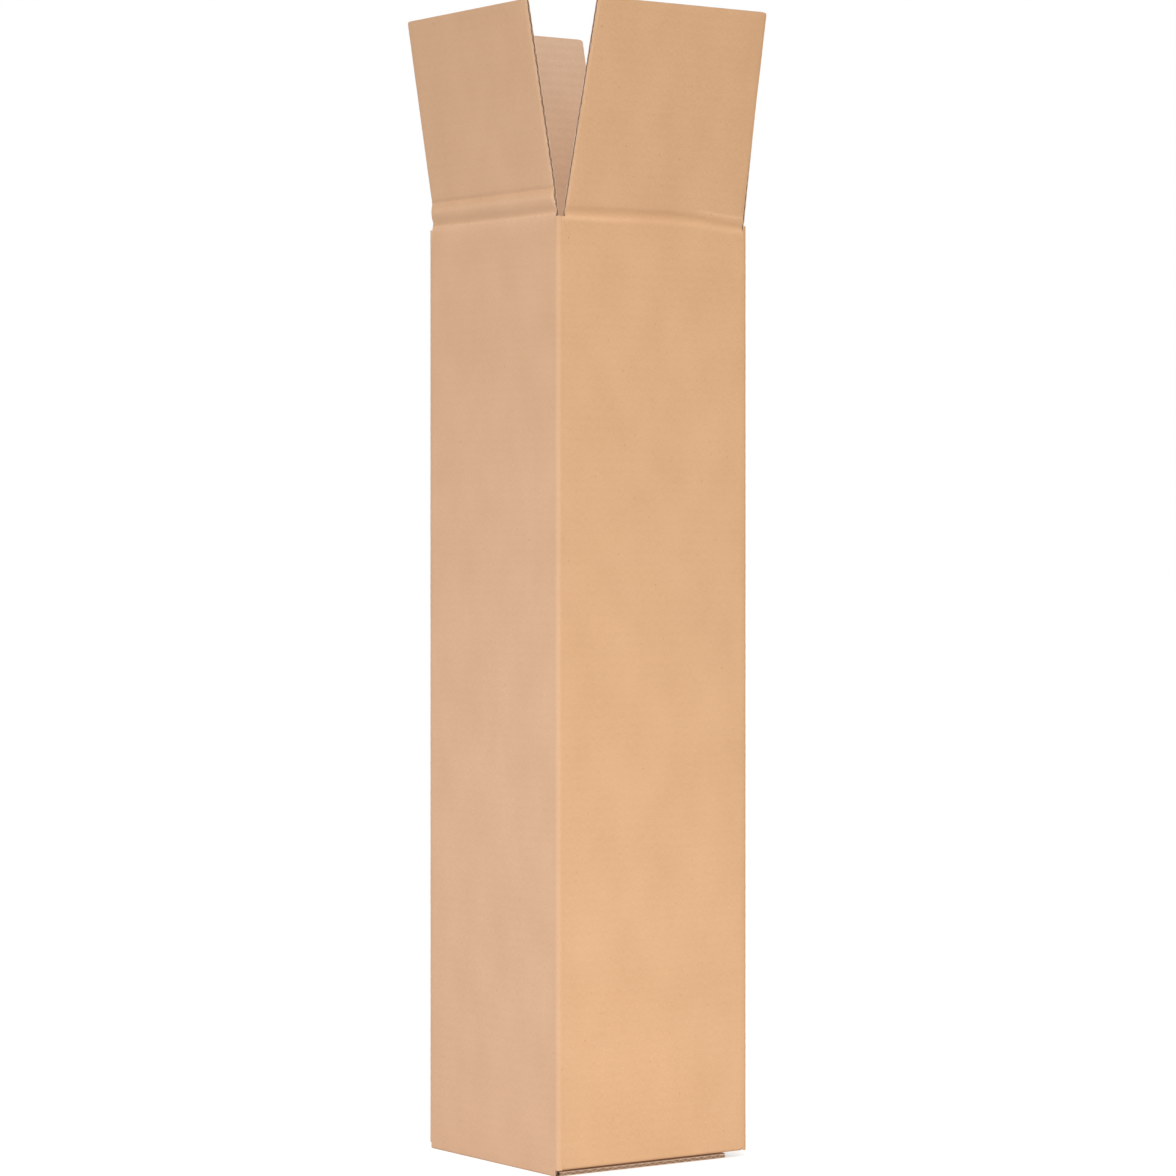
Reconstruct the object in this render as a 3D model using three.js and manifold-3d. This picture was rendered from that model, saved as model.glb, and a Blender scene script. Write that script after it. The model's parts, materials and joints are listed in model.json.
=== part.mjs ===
import * as THREE from 'three';
import { mergeVertices } from 'three/addons/utils/BufferGeometryUtils.js';
import Module from 'manifold-3d';

// A square mailing tube of single-wall corrugated board, standing on its folded bottom with its
// four top flaps open. Millimetres, +Z up, origin on the ground below the middle of the tube.

// Board
const boardThickness = 3;
const linerThickness = 0.4;
const mediumThickness = 0.4;
const flutePitch = 6.5;
const pointsPerFlute = 6;

// Tube
const tubeWidth = 150;
const creaseHeight = 609;
const cornerRadius = 3;
const cornerSegments = 6;

// Slots between the flaps, and the flaps
const slotWidth = 7;
const slotRelief = 0.7;
const flapLength = 134.5;
const flapCornerRadius = 2;
const secondCreaseRise = 14;

// How much shorter two of the top flaps were cut
const rearShortfall = 1.6;
const leftShortfall = 1.2;

// How far in from the slots' edges each top flap was cut, at the root and at the free end
const frontNearCut = { root: 2.5, end: 6.2 };
const frontFarCut = { root: 0, end: 4.5 };
const leftNearCut = { root: 2.2, end: 4.2 };
const leftFarCut = { root: 0, end: 0.8 };
const rearFarCut = { root: 2.5, end: 6.5 };
const rearNearCut = { root: 0, end: 4 };
const rightCut = { root: 0, end: 3.5 };

// How far the free end of each open top flap stands out of its panel
const frontSpread = 31.2;
const rearSpread = 25.2;
const sideSpread = 19.6;

// Running clearances: between two closed flaps, at a flap's crease, and beside a closing flap
const layerGap = 0.3;
const creaseGap = 0.3;
const sideGap = 0.3;

// Pressed fold lines in a panel's outer face
const foldLineWidth = 3;
const foldLineDepth = 0.6;

// Glued lap inside the rear right corner
const lapWidth = 35;
const lapEndInset = 12;
const lapEndTaper = 10;
const seamGap = 1;

const kraftOutside = 0xdcb084;
const kraftInside = 0xcda689;

const squareCut = { root: 0, end: 0 };
const halfWidth = tubeWidth / 2;
const halfInside = halfWidth - boardThickness;
const halfFlap = halfWidth - slotWidth / 2;
const levelStep = boardThickness + layerGap;
const slotFloor = creaseHeight - levelStep - slotRelief;
const innermostLevel = 3;
const bottomSlotRoof = 2 * levelStep + slotRelief;

// The four sides of the tube, each turned from the front one. Closed top flaps lie on each other
// in the order right, front, rear, left from the inside out. The bottom is folded in the order
// right, rear, front, left, and level counts its layers up from the ground. A flap's low and high
// edges are the ones towards -x and +x in its side's own frame.
const sides = [
  {
    name: 'front',
    turn: 0,
    crease: creaseHeight,
    foldLines: [],
    top: { length: flapLength, low: frontNearCut, high: frontFarCut, spread: frontSpread },
    bottom: { level: 1, hinged: false },
  },
  {
    name: 'rear',
    turn: Math.PI,
    crease: creaseHeight + levelStep,
    foldLines: [],
    top: {
      length: flapLength - rearShortfall,
      low: rearFarCut,
      high: rearNearCut,
      spread: rearSpread,
    },
    bottom: { level: 2, hinged: false },
  },
  {
    name: 'right',
    turn: Math.PI / 2,
    crease: creaseHeight - levelStep,
    foldLines: [],
    top: { length: flapLength, low: rightCut, high: rightCut, spread: sideSpread },
    bottom: { level: innermostLevel, hinged: false },
  },
  {
    name: 'left',
    turn: -Math.PI / 2,
    crease: creaseHeight + secondCreaseRise,
    foldLines: [creaseHeight],
    top: {
      length: flapLength - secondCreaseRise - leftShortfall,
      low: leftFarCut,
      high: leftNearCut,
      spread: sideSpread,
    },
    bottom: { level: 0, hinged: true },
  },
];

const wasm = await Module();
wasm.setup();

// A closed geometry, moved by a matrix, as a solid that can be joined and cut.
function toSolid(geometry, matrix = new THREE.Matrix4()) {
  const bare = geometry.index ? geometry.toNonIndexed() : geometry.clone();
  bare.deleteAttribute('normal');
  bare.deleteAttribute('uv');
  bare.applyMatrix4(matrix);
  const merged = mergeVertices(bare, 1e-4);
  return new wasm.Manifold(new wasm.Mesh({
    numProp: 3,
    vertProperties: new Float32Array(merged.attributes.position.array),
    triVerts: new Uint32Array(merged.index.array),
  }));
}

function toGeometry(solid) {
  const mesh = solid.getMesh();
  const geometry = new THREE.BufferGeometry();
  geometry.setAttribute('position', new THREE.BufferAttribute(mesh.vertProperties, 3));
  geometry.setIndex(new THREE.BufferAttribute(mesh.triVerts, 1));
  const flat = geometry.toNonIndexed();
  flat.computeVertexNormals();
  return flat;
}

function polygon(points) {
  return new THREE.Shape(points.map(([x, y]) => new THREE.Vector2(x, y)));
}

function extruded(shape, depth) {
  return new THREE.ExtrudeGeometry(shape, { depth, bevelEnabled: false });
}

// Points of an arc about (cx, cy), in degrees.
function arc(cx, cy, radius, fromDegrees, toDegrees) {
  const points = [];
  for (let i = 0; i <= cornerSegments; i += 1) {
    const angle = THREE.MathUtils.degToRad(
      fromDegrees + ((toDegrees - fromDegrees) * i) / cornerSegments,
    );
    points.push([cx + radius * Math.cos(angle), cy + radius * Math.sin(angle)]);
  }
  return points;
}

// A shape drawn in depth and height (inward from a panel's outer face, and up), carried across
// the panel from -half to half.
function acrossPanel(shape, half) {
  const turn = new THREE.Matrix4().makeBasis(
    new THREE.Vector3(0, 1, 0),
    new THREE.Vector3(0, 0, 1),
    new THREE.Vector3(1, 0, 0),
  );
  const start = new THREE.Matrix4().makeTranslation(-half, 0, 0);
  return toSolid(extruded(shape, 2 * half), start.multiply(turn));
}

// A side's own frame: x along the panel, y inward from its outer face, z up.
function sideMatrix(side) {
  const turn = new THREE.Matrix4().makeRotationZ(side.turn);
  return turn.multiply(new THREE.Matrix4().makeTranslation(0, -halfWidth, 0));
}

// A flap seen flat: root at 0, free end at its length with two rounded corners, and each edge
// cut in from the slot beside it.
function flapOutline(length, low = squareCut, high = squareCut) {
  const r = flapCornerRadius;
  return polygon([
    [-halfFlap + low.root, 0],
    [halfFlap - high.root, 0],
    ...arc(halfFlap - high.end - r, length - r, r, 0, 90),
    ...arc(-halfFlap + low.end + r, length - r, r, 90, 180),
  ]);
}

// One hollow of the fluting, from the liner on one face along the wave and back along the liner.
// face is 1 for the hollows that open to the inner liner and -1 for the outer one.
function fluteHollow(centre, face) {
  const half = boardThickness / 2 - linerThickness;
  const bond = mediumThickness / 8;
  const amplitude = half - mediumThickness / 2 + bond;
  const reach = (flutePitch / (2 * Math.PI)) * Math.acos(-(half - mediumThickness / 2) / amplitude);
  const points = [];
  for (let i = 0; i <= pointsPerFlute; i += 1) {
    const offset = reach * ((2 * i) / pointsPerFlute - 1);
    const wave = -amplitude * Math.cos((2 * Math.PI * offset) / flutePitch) + mediumThickness / 2;
    points.push([boardThickness / 2 + face * wave, centre + offset]);
  }
  return polygon(points);
}

// Section of a hinged flap, in depth and height from its crease, mitred at the root so that it
// closes on the panel's own mitre.
function flapSection(length) {
  const rise = creaseGap * Math.SQRT2;
  return polygon([
    [0, rise],
    [boardThickness, boardThickness + rise],
    [boardThickness, length],
    [0, length],
  ]);
}

// The flap's board with the hollows of its fluting, which run across it from side to side.
function flutedBoard(length) {
  let sheet = acrossPanel(flapSection(length), halfFlap);
  const reach = halfFlap + boardThickness;
  const last = length - flutePitch / 2;
  for (let at = 2 * boardThickness + flutePitch / 2; at < last; at += flutePitch) {
    sheet = sheet.subtract(acrossPanel(fluteHollow(at, 1), reach));
    if (at + flutePitch / 2 < last) {
      sheet = sheet.subtract(acrossPanel(fluteHollow(at + flutePitch / 2, -1), reach));
    }
  }
  return sheet;
}

// A hinged flap in its crease's frame: x along the crease, y through the board, z to its end.
function flapSolid(length, low, high) {
  const stand = new THREE.Matrix4().makeRotationX(Math.PI / 2);
  const centred = new THREE.Matrix4().makeTranslation(0, 2 * boardThickness, 0);
  const outline = toSolid(
    extruded(flapOutline(length, low, high), 3 * boardThickness),
    centred.multiply(stand),
  );
  return flutedBoard(length).intersect(outline);
}

// Section of one panel: mitred under its top crease, with pressed fold lines, and at the bottom
// either mitred for a hinged flap or rounded into the fold of a fixed one.
function panelSection(side) {
  const t = boardThickness;
  const r = cornerRadius;
  const base = side.bottom.level * levelStep;
  const halfLine = foldLineWidth / 2;
  const outerFace = [[0, side.crease]];
  for (const height of side.foldLines) {
    outerFace.push([0, height + halfLine], [foldLineDepth, height], [0, height - halfLine]);
  }
  const mitredFoot = [[0, base], [t, base + t]];
  const foldedFoot = [...arc(r, base + r, r, 180, 270), [2 * t, base], [2 * t, base + t], [t, base + t]];
  const foot = side.bottom.hinged ? mitredFoot : foldedFoot;
  return polygon([...outerFace, ...foot, [t, side.crease - t]]);
}

// The tube seen from above. At the glued corner the right panel folds round inside the rear one,
// whose cut edge shows as a seam.
function tubeOutline() {
  const r = cornerRadius;
  const w = halfWidth;
  const seamEdge = w - seamGap;
  return polygon([
    ...arc(-w + r, -w + r, r, 180, 270),
    ...arc(w - r, -w + r, r, 270, 360),
    ...arc(w - r, halfInside - r, r, 0, 60),
    [w - r * (1 - Math.cos(Math.PI / 3)), halfInside],
    [seamEdge, halfInside],
    [seamEdge, w],
    ...arc(-w + r, w - r, r, 90, 180),
  ]);
}

// The four walls between the slots at top and bottom, as one closed ring.
function wallRing() {
  const height = slotFloor - bottomSlotRoof;
  const place = new THREE.Matrix4().makeTranslation(0, 0, bottomSlotRoof);
  const bore = new THREE.BoxGeometry(2 * halfInside, 2 * halfInside, 4 * height);
  return toSolid(extruded(tubeOutline(), height), place).subtract(toSolid(bore));
}

// The lap that closes the tube, glued flat inside the rear panel beside the right one.
function gluedLap() {
  const low = innermostLevel * levelStep + boardThickness + lapEndInset;
  const high = slotFloor - lapEndInset;
  const outer = halfInside + boardThickness / 2;
  const inner = halfInside - lapWidth;
  const shape = polygon([
    [inner, low + lapEndTaper],
    [outer, low],
    [outer, high],
    [inner, high - lapEndTaper],
  ]);
  const stand = new THREE.Matrix4().makeRotationX(Math.PI / 2);
  const place = new THREE.Matrix4().makeTranslation(0, halfInside + boardThickness / 2, 0);
  return toSolid(extruded(shape, 1.5 * boardThickness), place.multiply(stand));
}

// Room above a panel's top mitre for its flap to close into.
function mitreRoom(side) {
  const reach = 2 * boardThickness;
  const shape = polygon([
    [-reach, side.crease + reach],
    [reach, side.crease - reach],
    [reach, side.crease + reach],
  ]);
  return acrossPanel(shape, halfFlap + sideGap);
}

// The part of a slot that lies beside the root of a flap cut narrower than its panel.
function wideSlot(cut, end) {
  const width = slotWidth / 2 + cut.root;
  const top = creaseHeight + 2 * levelStep;
  const box = new THREE.BoxGeometry(width, 2 * boardThickness, top - slotFloor);
  const place = new THREE.Matrix4().makeTranslation(
    end * (halfWidth - width / 2),
    0,
    (top + slotFloor) / 2,
  );
  return toSolid(box, place);
}

// A bottom flap folded in level from its panel and kept closed.
function fixedBottomFlap(side) {
  const trimmed = toSolid(extruded(flapOutline(flapLength), boardThickness));
  const base = side.bottom.level * levelStep;
  const behindFace = new THREE.Matrix4().makeTranslation(0, 1.5 * boardThickness, 0);
  const keep = toSolid(
    new THREE.BoxGeometry(2 * tubeWidth, 2 * tubeWidth, 4 * boardThickness),
    behindFace.multiply(new THREE.Matrix4().makeTranslation(0, tubeWidth, 0)),
  );
  return trimmed.intersect(keep).translate([0, 0, base]);
}

function placed(solid, side) {
  return solid.transform(sideMatrix(side).elements);
}

// The folded sheet without its hinged flaps.
function tubeSolid() {
  let sheet = wallRing().add(gluedLap());
  for (const side of sides) {
    sheet = sheet.add(placed(acrossPanel(panelSection(side), halfFlap), side));
    if (!side.bottom.hinged) {
      sheet = sheet.add(placed(fixedBottomFlap(side), side));
    }
  }
  for (const side of sides) {
    sheet = sheet.subtract(placed(mitreRoom(side), side));
    if (side.foldLines.length === 0 && side.top.low.root > 0) {
      sheet = sheet.subtract(placed(wideSlot(side.top.low, -1), side));
    }
  }
  return sheet;
}

function board(name, geometry, color) {
  const material = new THREE.MeshStandardMaterial({ color, roughness: 0.85, metalness: 0 });
  const mesh = new THREE.Mesh(geometry, material);
  mesh.name = name;
  return mesh;
}

// A group at a side's outer face, in that side's own frame.
function sideGroup(side) {
  const turned = new THREE.Group();
  turned.rotation.z = side.turn;
  const face = new THREE.Group();
  face.position.y = -halfWidth;
  turned.add(face);
  return { turned, face };
}

function topFlap(side) {
  const { length, low, high, spread } = side.top;
  const { turned, face } = sideGroup(side);
  const crease = new THREE.Group();
  crease.position.z = side.crease;
  crease.rotation.x = Math.asin(spread / length);
  crease.add(board(`flap_${side.name}`, toGeometry(flapSolid(length, low, high)), kraftInside));
  face.add(crease);
  return turned;
}

// The outermost bottom flap, folded flat under the others: turned half round so that its outer
// face looks down, then laid inward.
function bottomFlap(side) {
  const { turned, face } = sideGroup(side);
  const solid = flapSolid(flapLength, squareCut, squareCut);
  const crease = new THREE.Group();
  crease.rotation.set(-Math.PI / 2, 0, Math.PI);
  crease.add(board(`bottom_flap_${side.name}`, toGeometry(solid), kraftInside));
  face.add(crease);
  return turned;
}

const tube = new THREE.Group();
tube.add(board('tube_body', toGeometry(tubeSolid()), kraftOutside));
for (const side of sides) {
  tube.add(topFlap(side));
  if (side.bottom.hinged) {
    tube.add(bottomFlap(side));
  }
}

export default tube;
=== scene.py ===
import json
import math
import bpy
import numpy as np
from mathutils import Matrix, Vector


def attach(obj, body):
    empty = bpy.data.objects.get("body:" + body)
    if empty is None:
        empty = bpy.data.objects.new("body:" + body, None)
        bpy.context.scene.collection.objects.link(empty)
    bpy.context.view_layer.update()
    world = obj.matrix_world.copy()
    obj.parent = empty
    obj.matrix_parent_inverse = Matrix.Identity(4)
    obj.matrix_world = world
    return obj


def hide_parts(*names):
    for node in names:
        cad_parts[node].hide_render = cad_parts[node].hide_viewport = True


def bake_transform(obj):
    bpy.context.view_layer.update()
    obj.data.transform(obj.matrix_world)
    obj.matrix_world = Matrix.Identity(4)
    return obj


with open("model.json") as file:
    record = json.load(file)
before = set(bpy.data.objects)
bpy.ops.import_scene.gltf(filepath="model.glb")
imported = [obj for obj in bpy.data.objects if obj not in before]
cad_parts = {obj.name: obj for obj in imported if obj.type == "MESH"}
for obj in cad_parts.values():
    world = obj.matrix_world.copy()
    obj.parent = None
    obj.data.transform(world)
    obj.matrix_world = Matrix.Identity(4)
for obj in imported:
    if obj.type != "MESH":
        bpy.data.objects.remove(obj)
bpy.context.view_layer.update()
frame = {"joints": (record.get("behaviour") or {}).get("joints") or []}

print("frame loaded")

mm = 0.001

# the board, in mm: two liners with a wave of medium between them, its flutes lying level
board = {
    "thick": 3.0,
    "liner": 0.42,
    "medium": 0.32,
    "pitch": 6.5,
    "stepsPerFlute": 12,
    "pressed": 2.2,        # how far in from a cut edge the knife pressed the flutes
    "pinch": 0.30,         # and by what share
    "ragged": 0.10,        # how far a cut edge wanders
    "raggedDepth": 9.0,    # how much faster it wanders through the board than along it
    "paintedFluteShade": 0.9,         # a sheet of painted flute shade closes the flutes this far in from a cut edge
    "postFluteShade": 0.5,     # and this far in from the end of a corner post
    "fibreThick": 0.1,
}

# the tube, in mm; crease heights come from the frame's joints
tube = {
    "half": 75.0,
    "bend": 3.3,           # outer bend at the upright edges and at two of the bottom folds
    "flapHalf": 71.5,      # half a flap's width at its root, so the slots are 7 wide
    "wallFrom": 24.0,      # between these heights the walls are plain; feet and flaps take over past them
    "wallTo": 590.0,
    "slotFloor": 605.0,
    "slotRoofs": (4.0, 4.2, 4.2, 7.3),     # at the corners rear left, front left, front right, rear right
    "seamGap": 1.0,
}
panelWidth = 2 * tube["half"]

turns = {"front": 0.0, "rear": math.pi, "right": math.pi / 2, "left": -math.pi / 2}

# the panels in their order round the tube, and where the middle of each lies on the unrolled board, so
# that grain and flutes run on round the corners
panelOrder = ("rear", "left", "front", "right")
unrolled = {side: panelWidth * n for n, side in enumerate(panelOrder)}


def jointOf(name):
    return next(j for j in frame["joints"] if j["name"] == name)


def creaseHeight(side):
    return jointOf(side + "_flap_crease")["pos_m"][2] / mm


def leanOf(side):
    # a closed flap lies level, so its lean at rest is what its closing swing has over 90 degrees
    return math.radians(-jointOf(side + "_flap_crease")["range_deg"][0] - 90.0)


goldenAngle = 2.399


# smooth wandering of a value: a few sines of fixed, unrelated periods, so every run gives the same
def wander(x, y, periods, seed):
    total = np.zeros(np.broadcast(x, y).shape)
    for n, period in enumerate(periods):
        a = goldenAngle * (n + seed)
        total = total + np.sin(2 * math.pi * (x * np.cos(a) + y * np.sin(a)) / period + 1.7 * a + seed)
    return total / len(periods)


# 0 up to t = 0 and 1 from t = 1, with a smooth step between
def smooth(t):
    t = np.clip(t, 0.0, 1.0)
    return t * t * (3 - 2 * t)


# a value that comes on smoothly from start, over a stretch, up to its full amount
def ramped(t, amount, start, over):
    return amount * smooth((t - start) / over)


# a value that rises to 1 at a place and falls to 1/e a width away from it
def hump(t, at, width):
    return np.exp(-((t - at) / width) ** 2)


# side frame to row frame: s along the panel, d in from its outer face, z up
def placeOn(side, s, d, z):
    c, k = math.cos(turns[side]), math.sin(turns[side])
    y = d - tube["half"]
    return np.stack(np.broadcast_arrays(s * c - y * k, s * k + y * c, z), -1)


# one mesh gathers many sheets; each face has the number of its finish, each point its place on the
# unrolled board and its painted light: painted highlight above zero, painted shade below zero
class Gather:
    def __init__(self):
        self.points, self.flat, self.rub, self.faces, self.finish, self.count = [], [], [], [], [], 0

    # a layer of paper between two grids of points of the same shape, closed round its four edges
    def layer(self, front, back, flat, rub, finishes):
        frontFinish, backFinish, edgeFinish = finishes
        rows, cols = front.shape[:2]
        index = np.arange(rows * cols).reshape(rows, cols)
        quads = np.stack([index[:-1, :-1], index[:-1, 1:], index[1:, 1:], index[1:, :-1]], -1).reshape(-1, 4)
        size = rows * cols
        self.points += [front.reshape(-1, 3), back.reshape(-1, 3)]
        self.flat += [flat.reshape(-1, 2)] * 2
        self.rub += [np.broadcast_to(rub, (rows, cols)).ravel(), np.zeros(size)]
        self.faces += [quads + self.count, quads[:, ::-1] + size + self.count]
        self.finish += [np.full(len(quads), frontFinish), np.full(len(quads), backFinish)]
        for rim in (index[0, ::-1], index[-1, :], index[:, 0], index[::-1, -1]):
            a, b = rim[:-1], rim[1:]
            edge = np.stack([a, b, b + size, a + size], -1)
            self.faces.append(edge + self.count)
            self.finish.append(np.full(len(edge), edgeFinish))
        self.count += 2 * size

    def build(self, name, finishes, sharpFrom=35.0):
        points = np.concatenate(self.points) * mm
        faces = np.concatenate(self.faces)
        mesh = bpy.data.meshes.new(name)
        mesh.vertices.add(len(points))
        mesh.vertices.foreach_set("co", points.astype(np.float32).ravel())
        mesh.loops.add(faces.size)
        mesh.loops.foreach_set("vertex_index", faces.astype(np.int32).ravel())
        mesh.polygons.add(len(faces))
        mesh.polygons.foreach_set("loop_start", np.arange(0, faces.size, 4, dtype=np.int32))
        mesh.polygons.foreach_set("material_index", np.concatenate(self.finish).astype(np.int32))
        mesh.update(calc_edges=True)
        flat = (np.concatenate(self.flat) * mm)[faces.ravel()]
        mesh.uv_layers.new(name="boardFlat").data.foreach_set("uv", flat.astype(np.float32).ravel())
        rub = mesh.attributes.new("rub", "FLOAT", "POINT")
        rub.data.foreach_set("value", np.concatenate(self.rub).astype(np.float32))
        for finish in finishes:
            mesh.materials.append(finish)
        mesh.shade_smooth()
        mesh.set_sharp_from_angle(angle=math.radians(sharpFrom))
        piece = bpy.data.objects.new(name, mesh)
        bpy.context.scene.collection.objects.link(piece)
        print(name, len(faces), "faces")
        return piece


# finish numbers within a piece
outside, inside, hollow, cut, paintedFluteShade = 0, 1, 2, 3, 4


# the two liners of a stretch of board. place(a, b, d) gives the points at unrolled place a along the
# flutes and b across them, d deep in the board; rows run up b, so each front face looks outward
def liners(gather, place, across, outerRows, innerRows, rub=0.0):
    thick, liner = board["thick"], board["liner"]
    for rows, front, back, paintedLightShare, sides in (
        (outerRows, 0.0, liner, rub, (outside, hollow, cut)),
        (innerRows, thick - liner, thick, 0.0, (hollow, inside, cut)),
    ):
        a, b = np.meshgrid(across, rows)
        flat = np.stack([a, b], -1)
        gather.layer(place(a, b, front + 0 * a), place(a, b, back + 0 * a), flat, paintedLightShare, sides)


# all three papers: the liners, and the medium as far as the inner one goes
def papers(gather, place, across, along, rub=0.0, innerFrom=-math.inf, waveAcross=None):
    innerRows = along[along > innerFrom]
    liners(gather, place, across, along, innerRows, rub)
    if waveAcross is None:
        waveAcross = across
    medium(gather, place, waveAcross, innerRows.min(), innerRows.max())


# columns through the board, from liner to liner
def fluteDepths():
    return np.linspace(board["liner"], board["thick"] - board["liner"], 3)


# a sheet of painted shade across the open flute ends, a little way in from both cut edges of a side's flap,
# coloured as the flutes look deeper in; a sheet faces +a when its columns run in and its rows run up
def fluteShadeSheets(gather, place, side, along):
    for end in (1, -1):
        a = unrolled[side] + end * (tube["flapHalf"] - board["paintedFluteShade"])
        d, b = np.meshgrid(fluteDepths()[::end], along)
        front = place(a + 0 * d, b, d)
        back = place(a - end * board["fibreThick"] + 0 * d, b, d)
        gather.layer(front, back, np.stack([b, d + a], -1), 0.0, (paintedFluteShade, hollow, hollow))


# the same across the end of a post, facing up (1) or down (-1)
def capPost(gather, across, level, facing):
    a, d = np.meshgrid(across, fluteDepths()[::facing])
    frontZ = np.full(a.shape, level - board["postFluteShade"] * facing)
    backZ = frontZ - board["fibreThick"] * facing
    front, back = placeWall(a, frontZ, d), placeWall(a, backZ, d)
    gather.layer(front, back, np.stack([a, d], -1), 0.0, (paintedFluteShade, hollow, hollow))


# the medium: its middle follows a cosine of one pitch across the flutes, from liner to liner
def medium(gather, place, across, low, high):
    half = board["thick"] / 2
    swing = half - board["liner"] - board["medium"] / 2
    steps = int((high - low) / board["pitch"] * board["stepsPerFlute"]) + 2
    a, b = np.meshgrid(across, np.linspace(low, high, steps))
    middle = half + swing * np.cos(2 * math.pi * b / board["pitch"])
    front = place(a, b, middle - board["medium"] / 2)
    back = place(a, b, middle + board["medium"] / 2)
    gather.layer(front, back, np.stack([a, b], -1), 0.0, (hollow, hollow, cut))


# the walls' slow wander from flat, in mm
swell = {
    "depth": 0.35,
    "waves": (173.0, 97.0, 61.0, 240.0),
    "reach": 70.0,         # it has faded out this far from a panel's middle
    "fadeAcross": 30.0,
    "fadeUp": 60.0,
}


# how far a wall's face lies in from flat
def swellAt(s, z, panel):
    across = smooth((swell["reach"] - np.abs(s)) / swell["fadeAcross"])
    foot = smooth((z - tube["wallFrom"]) / swell["fadeUp"])
    head = smooth((tube["wallTo"] - z) / swell["fadeUp"])
    return swell["depth"] * across * foot * head * wander(s, z, swell["waves"], panel + 1)


# where the flutes cross an upright fold the outer liner stands out a little, unevenly, in mm
foldBumps = {
    "height": 0.22,
    "waves": (31.0, 17.0, 53.0),
    "foldsApart": 20.0,    # how far from each other the folds read the same waves
}


# how far it stands out, over being the way gone round a fold: most at the fold's middle and on each flute
def edgeBumps(over, z, panel):
    at = np.clip(1.0 - np.abs(over - tube["bend"]) / tube["bend"], 0.0, 1.0)
    beat = 0.5 + 0.5 * np.cos(2 * math.pi * z / board["pitch"])
    strength = 0.5 + 0.5 * wander(z, foldBumps["foldsApart"] * panel, foldBumps["waves"], 3)
    return foldBumps["height"] * at * beat * strength


# the glued lap, in mm
lap = {
    "glue": 0.04,          # between it and the rear panel
    "width": 35.0,
    "low": 24.9,
    "high": 593.0,
    "taper": 10.0,         # its two ends are cut at a slant, this much over its width
    "columns": 12,
    "rows": 60,
}
lapFold = tube["half"] - board["thick"] - lap["glue"] - tube["bend"]     # from the right panel's middle
lapStart = unrolled["right"] + lapFold + 2 * tube["bend"]


# the number of the panel at unrolled place a, and how far that place is from the panel's middle
def panelAt(a):
    panel = np.clip(np.floor((a + tube["half"]) / panelWidth), 0, len(panelOrder) - 1).astype(int)
    return panel, a - panelWidth * panel


# the walls: straight panels, joined by quarter circles about a point one bend in from both faces. The rear
# panel's raw end stays straight, and past the right panel the board folds in and runs on as the glued lap
def placeWall(a, z, d):
    r = tube["bend"]
    panel, s = panelAt(a)
    edge = np.full(s.shape, tube["half"] - r)
    edge[(panel == panelOrder.index("rear")) & (s < 0)] = tube["half"]
    edge[(panel == panelOrder.index("right")) & (s > 0)] = lapFold
    over = np.clip(np.abs(s) - edge, 0.0, None)
    turn = np.clip(over / (2 * r), 0.0, 1.0) * math.pi / 2
    inward = np.clip(over - 2 * r, 0.0, None)
    along = np.sign(s) * (np.minimum(np.abs(s), edge) + (r - d) * np.sin(turn))
    depth = r - (r - d) * np.cos(turn) + inward
    depth = depth + np.where(over > 0, 0.0, swellAt(s, z, panel))
    depth = depth - edgeBumps(over, z, panel)
    points = np.empty(a.shape + (3,))
    for n, side in enumerate(panelOrder):
        here = panel == n
        points[here] = placeOn(side, along[here], depth[here], z[here])
    return points


# the walls' grid and the painted shade on their upright folds; a panel's low side comes first
wallGrid = {
    "nearFold": 2.7,       # a column stands this close to each fold, so that its painted shade stays narrow
    "panelColumns": 8,
    "bendColumns": 7,
    "rows": 350,
    "innerRows": 60,
    "seamMedium": 20.0,    # the walls' medium shows only at the seam, so it is built this far from it
    "postColumns": 11,
    "postRows": 10,
    "seamPost": 3.0,       # the seam's post starts this far in from its slot, before its fold does
    "rawColumns": 4,
    # painted shade on the upright folds and corner posts, toning down the light the folds catch: its amount,
    # and from where and over how much it comes on, on a panel's low side and its high side
    "paintedShade": 0.25,
    "foldShadeFrom": (69.5, 71.0),
    "foldShadeOver": (3.0, 1.5),
}


# columns across a flat panel, with one close to each fold
def panelColumns(start, stop):
    near = wallGrid["nearFold"]
    middle = np.linspace(start + near, stop - near, wallGrid["panelColumns"])
    return np.concatenate([[start], middle, [stop]])


# the four panels and the folds between them: one run of board from the seam to the start of the lap
def makePanels(gather):
    r, t = tube["bend"], tube["half"]
    start = -t + tube["seamGap"]
    across = [panelColumns(start, t - r)]
    for side in panelOrder[1:]:
        middle = unrolled[side]
        across.append(middle - t + np.linspace(-r, r, wallGrid["bendColumns"])[1:-1])
        across.append(middle + panelColumns(-t + r, lapFold if side == "right" else t - r))
    across.append(across[-1][-1] + np.linspace(0.0, 2 * r, wallGrid["bendColumns"])[1:])
    across = np.concatenate(across)
    s = panelAt(across)[1]
    highSide = (s > 0).astype(int)
    foldShadeFrom = np.take(wallGrid["foldShadeFrom"], highSide)
    foldShadeOver = np.take(wallGrid["foldShadeOver"], highSide)
    foldShade = wallGrid["paintedShade"] * smooth((np.abs(s) - foldShadeFrom) / foldShadeOver)
    low, high = tube["wallFrom"], tube["wallTo"]
    outerRows = np.linspace(low, high, wallGrid["rows"])
    innerRows = np.linspace(low, high, wallGrid["innerRows"])
    # the outer liner takes painted shade towards each upright fold, but not on the rear panel's half at the
    # seam
    liners(gather, placeWall, across, outerRows, innerRows, np.where(across < 0, 0.0, -foldShade))
    medium(gather, placeWall, np.linspace(start, -t + wallGrid["seamMedium"], 3), low, high)


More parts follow.
